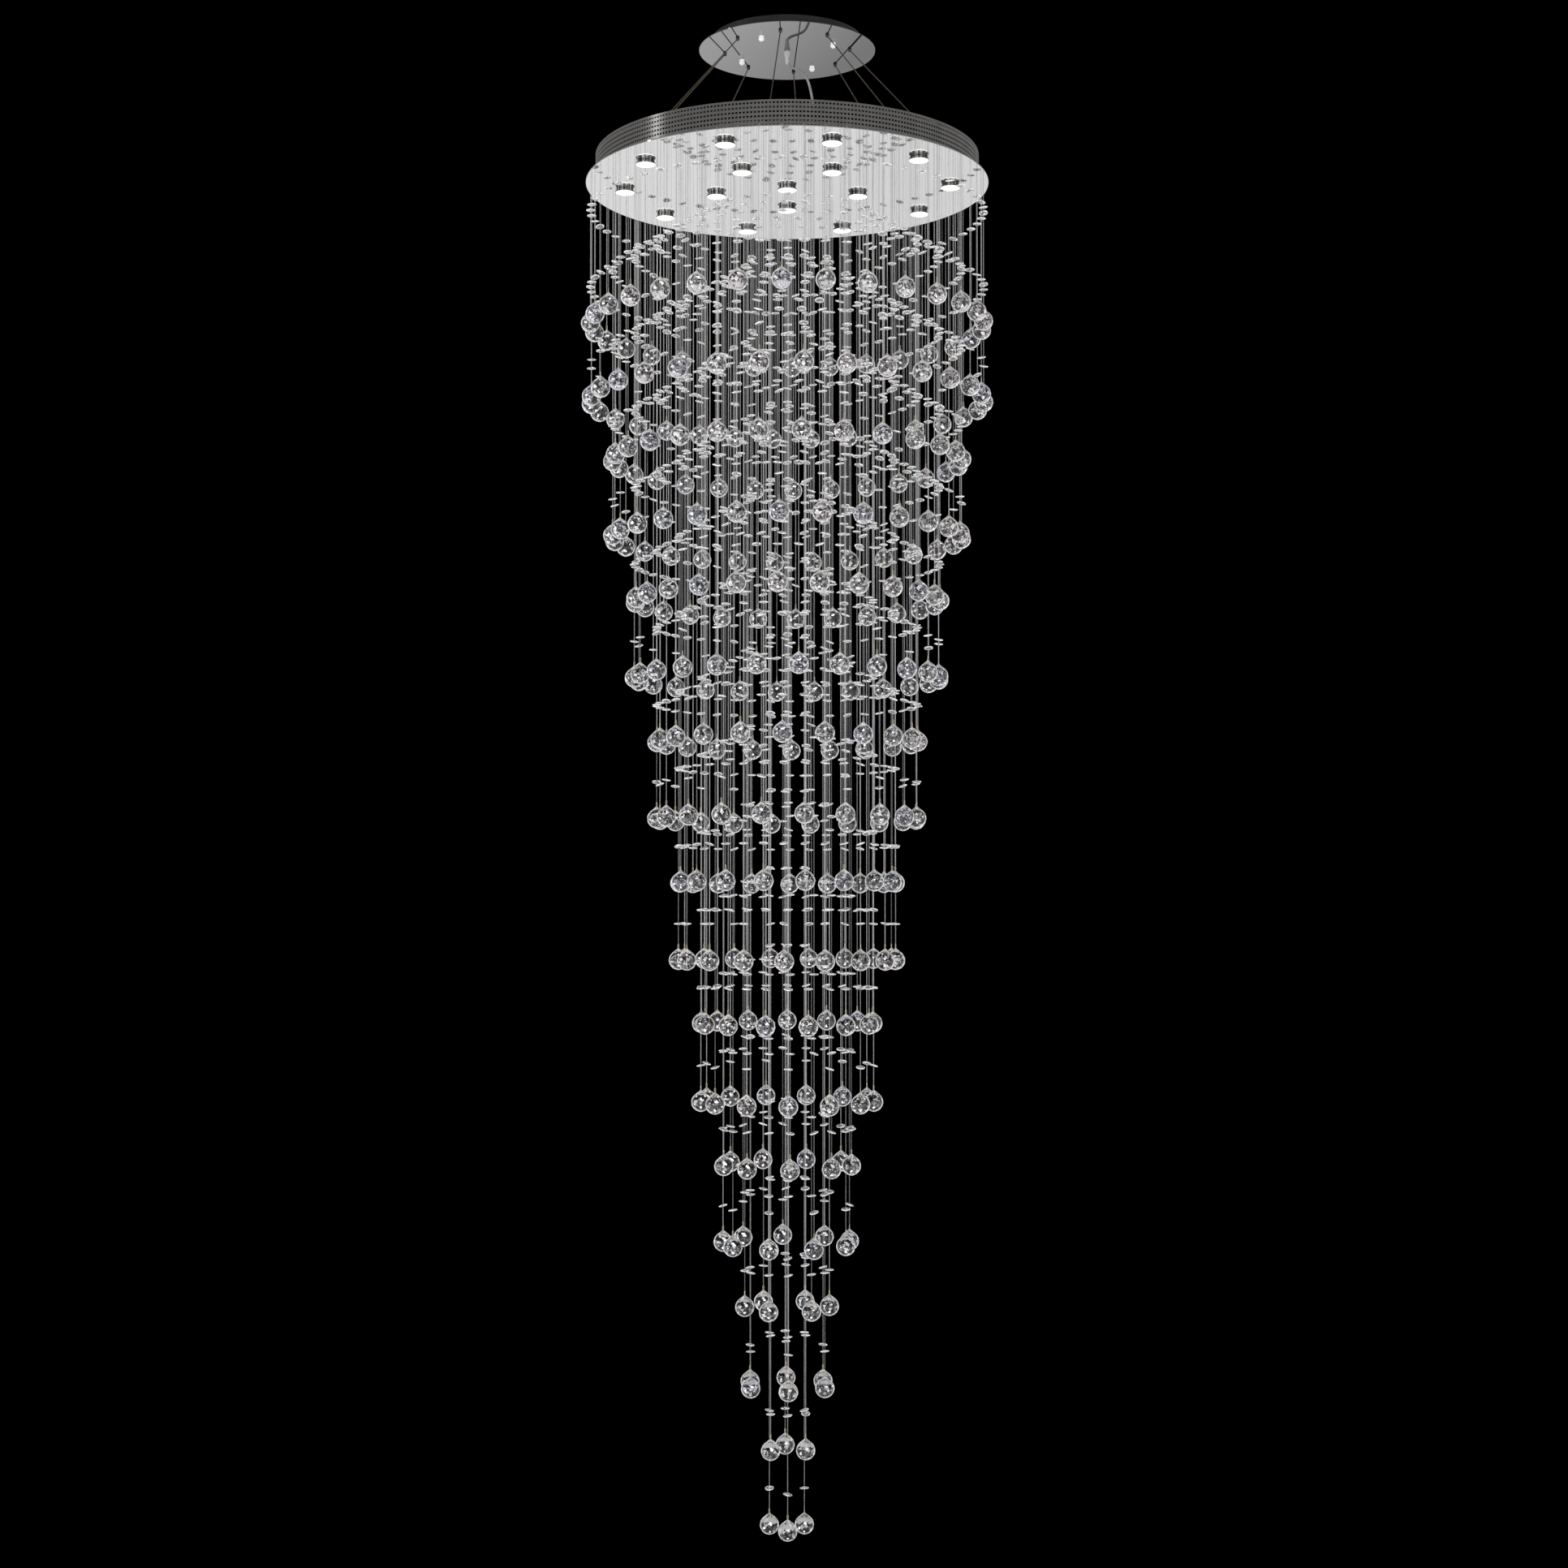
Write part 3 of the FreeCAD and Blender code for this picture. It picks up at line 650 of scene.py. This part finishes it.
lamp = {"drop": plateBottom - lampFaceLevel, "litHeight": 0.0034,
        "lens": 0.0189, "core": 0.0125, "coreTop": -0.0002,
        "dome": ((0.15, 0.0), (0.45, 0.0004), (0.75, 0.0012), (0.93, 0.0023)),
        "bowl": ((0.0189, 0.0001), (0.0189, 0.0003), (0.0125, 0.0009)), "coreFoot": 0.0011,
        "ribs": 10, "ribThick": 0.0034,
        "ribFoot": ((0.0115, 0.0002), (0.0185, 0.0002), (0.0197, 0.0010), (0.0193, 0.0028)),
        "ribHead": ((0.0163, -0.0014), (0.0149, -0.0004), (0.0115, -0.0004)),
        "neck": ((0.0155, -0.0002), (0.0155, 0.002), (0.0128, 0.007), (0.0098, 0.012), (0.008, 0.016)),
        "base": ((0.008, 0.016), (0.0077, 0.0170), (0.008, 0.0180), (0.008, 0.0215), (0.0075, 0.022)),
        "pin": ((0.0015, 0.022), (0.0015, 0.0254), (0.0009, 0.026)), "pinSpacing": 0.008,
        "outer": (10, -3.0, 0.3295950), "inner": (5, 18.0, 0.1517150)}


def lampPlaces(group):
    if group == "centre":
        return [at(0, 0, plateBottom)]
    count, turn, circle = lamp[group]
    angles = [math.radians(turn + 360.0 * k / count) for k in range(count)]
    return [at(circle * math.cos(a), circle * math.sin(a), plateBottom, a) for a in angles]


def ribbedHousing():
    # upright cooling ribs that flare out past the lens
    low = lamp["litHeight"] - lamp["drop"]
    half = lamp["ribThick"] / 2
    outline = [(x, low + z) for x, z in lamp["ribFoot"]] + list(lamp["ribHead"])
    points = [(x, side, z) for side in (-half, half) for x, z in outline]
    count = len(outline)
    faces = [list(range(count))[::-1], list(range(count, 2 * count))]
    faces += [[n, (n + 1) % count, count + (n + 1) % count, count + n] for n in range(count)]
    form = Form()
    for k in range(lamp["ribs"]):
        form.add((np.array(points), faces), at(0, 0, 0, 2 * math.pi * (k + 0.5) / lamp["ribs"]))
    return np.concatenate(form.points), form.faces


def lampShapes():
    # heights are from the plate's underside, and a bowl's and a rib foot's from the lens's edge
    low = -lamp["drop"]
    lit = low + lamp["litHeight"]
    core = turned([(lamp["core"], lit + lamp["coreFoot"]), (lamp["core"], lamp["coreTop"])], 36)
    dome = [(lamp["lens"] * share, low + rise) for share, rise in lamp["dome"]]
    lens = turned(dome + [(lamp["lens"], lit)], 64)
    bowl = turned([(radius, lit + rise) for radius, rise in lamp["bowl"]], 64)
    neck, base, pin = turned(lamp["neck"], 32), turned(lamp["base"], 24), turned(lamp["pin"], 12)
    return ribbedHousing(), core, neck, lens, bowl, base, pin


def lamps():
    housing, core, neck, lens, bowl, base, pin = lampShapes()
    for group, body in (("outer", "outer_lamps"), ("inner", "inner_lamps"), ("centre", "centre_lamp")):
        housings, cores, lenses, bowls, bases, pins = Form(), Form(), Form(), Form(), Form(), Form()
        for place in lampPlaces(group):
            housings.add(housing, place).add(neck, place)
            cores.add(core, place)
            lenses.add(lens, place)
            bowls.add(bowl, place)
            bases.add(base, place)
            for side in (-0.5, 0.5):
                pins.add(pin, place @ at(side * lamp["pinSpacing"], 0, 0))
        housings.piece(body + "_housings", "lampShell", body, "lamp_glass", [body])
        cores.piece(body + "_cores", "ceramic", body, "lamp_glass", [body], True)
        lenses.piece(body + "_lenses", "lampFace", body, "lamp_glass", [body], True)
        bowls.piece(body + "_bowls", "lampBowl", body, "lamp_glass", [body])
        bases.piece(body + "_bases", "ceramic", body, "socket_ceramic", [body], True)
        pins.piece(body + "_pins", "chrome", body, "zinc_steel", [body], True)
    print("lamps dressed")


lamps()

# Strands

strand = {"counts": (30, 27, 24, 20, 17, 13, 9, 6, 3), "firstRadius": 0.3963, "lastRadius": 0.04054,
          "shortTurns": (4.5, 7.8, -3.4, 16.0, 3.9, 6.8, 32.5, 4.5, -24.3),
          "longTurns": (10.5, 0.9, 4.1, 7.2, 14.4, 21.5, 14.0, 31.6, 31.5),
          "outerDrop": 0.285, "secondDrop": 0.5595, "ringDrop": 0.283, "tierDrop": 0.1555,
          "firstBead": 0.073, "beadPitch": 0.1555, "topMargin": 0.045,
          "lineRadius": 0.0008, "lineTop": 0.0043, "neck": 0.0225, "pin": 0.0104, "tuck": 0.0010,
          "knot": ((0.00056, 0.0), (0.0010, 0.0008), (0.0010, 0.0020), (0.0008, 0.0026)),
          "crimp": ((0.0008, -0.0016), (0.0010, -0.0012), (0.0010, 0.0), (0.0008, 0.0003)),
          "crimpDrop": 0.0040, "lineSides": 6}


def ringSpots(ring):
    # short and long strands of a ring, as (x, y, drop of the ball)
    rings = len(strand["counts"])
    pitch = (strand["firstRadius"] - strand["lastRadius"]) / (rings - 1)
    radius = strand["firstRadius"] - pitch * ring
    count = strand["counts"][ring]
    drop = strand["secondDrop"] + strand["ringDrop"] * (ring - 1) if ring else strand["outerDrop"]
    tiers = (strand["shortTurns"][ring], drop), (strand["longTurns"][ring], drop + strand["tierDrop"])
    spots = []
    for turn, low in tiers:
        for k in range(count):
            a = math.radians(turn + 360.0 * k / count)
            spots.append((radius * math.cos(a), radius * math.sin(a), low))
    return spots


def beadLevels(drop):
    count = int((drop - strand["firstBead"] - strand["topMargin"]) // strand["beadPitch"]) + 1
    return [plateBottom - drop + strand["firstBead"] + strand["beadPitch"] * k for k in range(count)]


ball = {"radius": 0.01925, "sides": 14, "latitudes": (-76.0, -58.0, -40.0, -22.0, -4.0, 14.0, 32.0, 50.0),
        "culet": 0.0024, "neckRadius": 0.0026, "neckTop": 0.0225}
bead = {"radius": 0.0090, "girdle": 0.0006, "crownRadius": 0.0063, "crownHeight": 0.0017,
        "tableRadius": 0.0028, "tableHeight": 0.0022, "sides": 10, "tilt": 22.0}
ballPin = {"stem": ((0.0024, 0.0), (0.0024, 0.0008), (0.0015, 0.0016), (0.0012, 0.0034)), "sides": 12,
           "eyeMiddle": 0.0066, "eyeHigh": 0.0034, "eyeWide": 0.0013, "eyeSteps": 17,
           "wire": 0.0005, "wireSides": 6}


def cutBall():
    # rows of facets from the culet up to the shoulder, each half a facet round from the last, and a neck
    sides = ball["sides"]
    half = math.pi / sides
    points = ringPoints(ball["culet"], -ball["radius"], sides, half)
    for k, latitude in enumerate(ball["latitudes"]):
        a = math.radians(latitude)
        turn = half * (k % 2)
        points += ringPoints(ball["radius"] * math.cos(a), ball["radius"] * math.sin(a), sides, turn)
    points += ringPoints(ball["neckRadius"], ball["neckTop"], sides)
    return cut(points)


def cutBead():
    # a lens with a narrow girdle, a crown of facets on each side and a small flat table
    sides = bead["sides"]
    half = math.pi / sides
    points = []
    for side in (-1, 1):
        points += ringPoints(bead["radius"], side * bead["girdle"], sides)
        points += ringPoints(bead["crownRadius"], side * bead["crownHeight"], sides, half)
        points += ringPoints(bead["tableRadius"], side * bead["tableHeight"], sides)
    return cut(points)


def eyePin():
    # a gilt pin: a foot and a stem in the ball's neck, and a wire eye that the line is tied to
    eye = []
    for k in range(ballPin["eyeSteps"] + 1):
        a = 2 * math.pi * k / ballPin["eyeSteps"]
        level = ballPin["eyeMiddle"] - ballPin["eyeHigh"] * math.cos(a)
        eye.append((ballPin["eyeWide"] * math.sin(a), 0.0, level))
    form = Form().add(turned(ballPin["stem"], ballPin["sides"]))
    form.add(swept(eye, ballPin["wire"], ballPin["wireSides"]))
    return np.concatenate(form.points), form.faces


def knottedLine(drop):
    # a clear line from its knot in the pin up to its stop, with a small crimp under each bead
    foot = -drop + strand["neck"] + strand["pin"] - strand["tuck"]
    profile = [(radius, foot + rise) for radius, rise in strand["knot"]]
    for z in beadLevels(drop):
        foot = z - plateBottom - strand["crimpDrop"]
        profile += [(radius, foot + rise) for radius, rise in strand["crimp"]]
    profile.append((strand["lineRadius"], plateTop - plateBottom + strand["lineTop"]))
    return turned(profile, strand["lineSides"])


def tilted():
    # a bead sits a little askew on its line
    way = chance.uniform(0, 2 * math.pi)
    lean = math.radians(bead["tilt"]) * chance.uniform(-1, 1)
    return Matrix.Rotation(way, 4, "Z") @ Matrix.Rotation(lean, 4, "X")


def hang(spots, name, bodies, shapes, replaced):
    # lines, beads, pins and balls of some strands, each kind as one piece
    ballBody, lineBody = bodies
    ballShape, beadShape, pinShape = shapes
    balls, beads, pins, lines = Form(), Form(), Form(), Form()
    for x, y, drop in spots:
        z = plateBottom - drop
        spin = chance.uniform(0, 2 * math.pi)
        balls.add(ballShape, at(x, y, z, spin))
        pins.add(pinShape, at(x, y, z + strand["neck"], spin))
        lines.add(knottedLine(drop), at(x, y, plateBottom))
        for level in beadLevels(drop):
            beads.add(beadShape, at(x, y, level) @ tilted())
    lines = lines.piece(name + "_lines", "line", lineBody, "nylon_line", replaced["lines"], True)
    beads = beads.piece(name + "_beads", "bead", lineBody, "crystal", replaced["beads"])
    pins = pins.piece(name + "_pins", "brass", ballBody, "brass", replaced["pins"], True)
    balls = balls.piece(name + "_balls", "crystal", ballBody, "crystal", replaced["balls"])
    return lines, beads, pins, balls


def declareTip(spot, pieces):
    # the lowest point of one of the three longest lines, where it meets the pin of its ball; the point is
    # worked out and not used
    x, y, drop = spot
    low = Vector((x, y, plateBottom - drop + strand["neck"] + strand["pin"] - strand["tuck"]))


def strands():
    shapes = cutBall(), cutBead(), eyePin()
    last = len(strand["counts"]) - 1
    groups = ("outer", "outer", "outer", "middle", "middle", "middle", "inner", "inner", "inner")
    for ring, group in enumerate(groups):
        spots = ringSpots(ring)
        if ring == last:
            tips = spots[strand["counts"][ring]:]
            spots = spots[:strand["counts"][ring]]
        name = "ring_%d" % (ring + 1)
        replaced = {"balls": [name + "_balls"], "beads": [name + "_beads"], "pins": ["ball_pins"],
                    "lines": [group + "_strand_lines"]}
        hang(spots, "crystal_" + name, ("drum", "drum"), shapes, replaced)
    for k, tip in enumerate(tips, 1):
        name = "tip_%d" % k
        replaced = {"balls": [name + "_ball"], "beads": [name + "_beads"], "pins": [name + "_ball"],
                    "lines": [name + "_line"]}
        bodies = ("tip_ball_%d" % k, "tip_strand_%d" % k)
        declareTip(tip, hang([tip], "crystal_" + name, bodies, shapes, replaced))
    print("strands hung:", sum(strand["counts"]) * 2)


strands()

# Plain metal and plastic nodes keep their shape

worn = {
    "pan": ["ceiling_pan"], "canopyMirror": ["canopy_plate"], "plateMirror": ["mirror_plate"],
    "zinc": ["canopy_studs", "canopy_rope_nuts", "drum_rope_nuts", "cover_screws", "lamp_brackets",
             "strand_stops"],
    # the drum's frame and pillars wear near-black painted shade
    "paintedShadeBlack": ["drum_frame", "plate_pillars"],
    "ropeEnd": ["canopy_rope_ends", "drum_rope_ends"],
    "chrome": ["canopy_cap_nuts"],
    "gland": ["canopy_gland", "drum_gland"], "cover": ["top_cover"],
    "white": ["canopy_gland_nut", "drum_gland_nut", "canopy_terminal_block", "drum_terminal_block"],
    "sleeve": ["lamp_leads"], "ceramic": ["lamp_sockets"],
}
for material, names in worn.items():
    for name in names:
        wear(name, material)
print("nodes dressed")

# Studio

studio = {"floorLevel": -3.41, "floorRadius": 1.25, "floorThick": 0.03, "floorEdge": 0.006,
          "windowScale": 3.6, "middle": (0.0, 0.0, -1.5)}
softboxes = {
    "keyLight": {"place": (-2.6, -3.0, -0.4), "wide": 1.2, "high": 2.4, "power": 80},
    "fillLight": {"place": (3.0, -2.2, -1.6), "wide": 1.4, "high": 2.4, "power": 45},
    "backLeft": {"place": (-2.2, 2.6, -1.4), "wide": 0.7, "high": 2.6, "power": 40},
    "backRight": {"place": (2.4, 2.2, -1.8), "wide": 0.7, "high": 2.6, "power": 40},
    "bandStrip": {"place": (-3.4, -0.65, 0.55), "wide": 0.14, "high": 1.1, "power": 1.3,
                  "aim": (0.0, 0.0, -0.3), "shown": True},
}


def makeFloor():
    radius, edge = studio["floorRadius"], studio["floorEdge"]
    disc = turned([(radius, -studio["floorThick"]), (radius, -edge), (radius - edge, 0.0)], 128)
    form = Form().add(disc, at(0, 0, studio["floorLevel"]))
    form.piece("floor", "floor", None, None)


def softbox(name, place, wide, high, power, aim=studio["middle"], shown=False):
    # a soft lamp, seen only in polished metal, and there only when it is shown
    data = bpy.data.lights.new(name, "AREA")
    data.shape = "RECTANGLE"
    data.size = wide
    data.size_y = high
    data.energy = power
    box = bpy.data.objects.new(name, data)
    box.location = place
    box.rotation_euler = (Vector(aim) - Vector(place)).to_track_quat("-Z", "Y").to_euler()
    box.visible_camera = False
    box.visible_glossy = shown
    box.visible_transmission = False
    bpy.context.collection.objects.link(box)


def makeWorld():
    # the camera sees black, shiny things see a room that is pale below and dim above, and glass sees a dark
    # room with windows
    p = Paint("studio", "World")
    way = p.place("Generated")
    height = p.along(way, "Z")
    room = p.ramp(height * 0.5 + 0.5,
                  [(0.30, grey(0.80)), (0.46, grey(0.72)), (0.54, grey(0.26)), (0.68, grey(0.20))])
    windows = p.ramp(p.noise(studio["windowScale"], 1.0, way),
                     [(0.50, grey(0.004)), (0.58, grey(0.04)), (0.64, grey(0.36)), (0.70, grey(2.0))])
    glassy = p.ray("Is Transmission Ray")
    lit = p.mixed(glassy, p.mixed(height > 0.4, room, windows), windows)
    seen = p.mixed(p.ray("Is Camera Ray"), lit, (0.0, 0.0, 0.0, 1.0))
    bpy.context.scene.world = p.done(p.node("ShaderNodeBackground", {}, {"Color": seen}))


makeFloor()
makeWorld()
for name, light in softboxes.items():
    softbox(name, **light)
scene = bpy.context.scene
scene.view_settings.view_transform = "Standard"
scene.cycles.use_denoising = True
scene.cycles.max_bounces = 10
scene.cycles.transmission_bounces = 8
scene.cycles.glossy_bounces = 5
scene.cycles.transparent_max_bounces = 32
scene.cycles.caustics_reflective = False
scene.cycles.caustics_refractive = False
scene.cycles.sample_clamp_indirect = 6.0
print("studio ready")
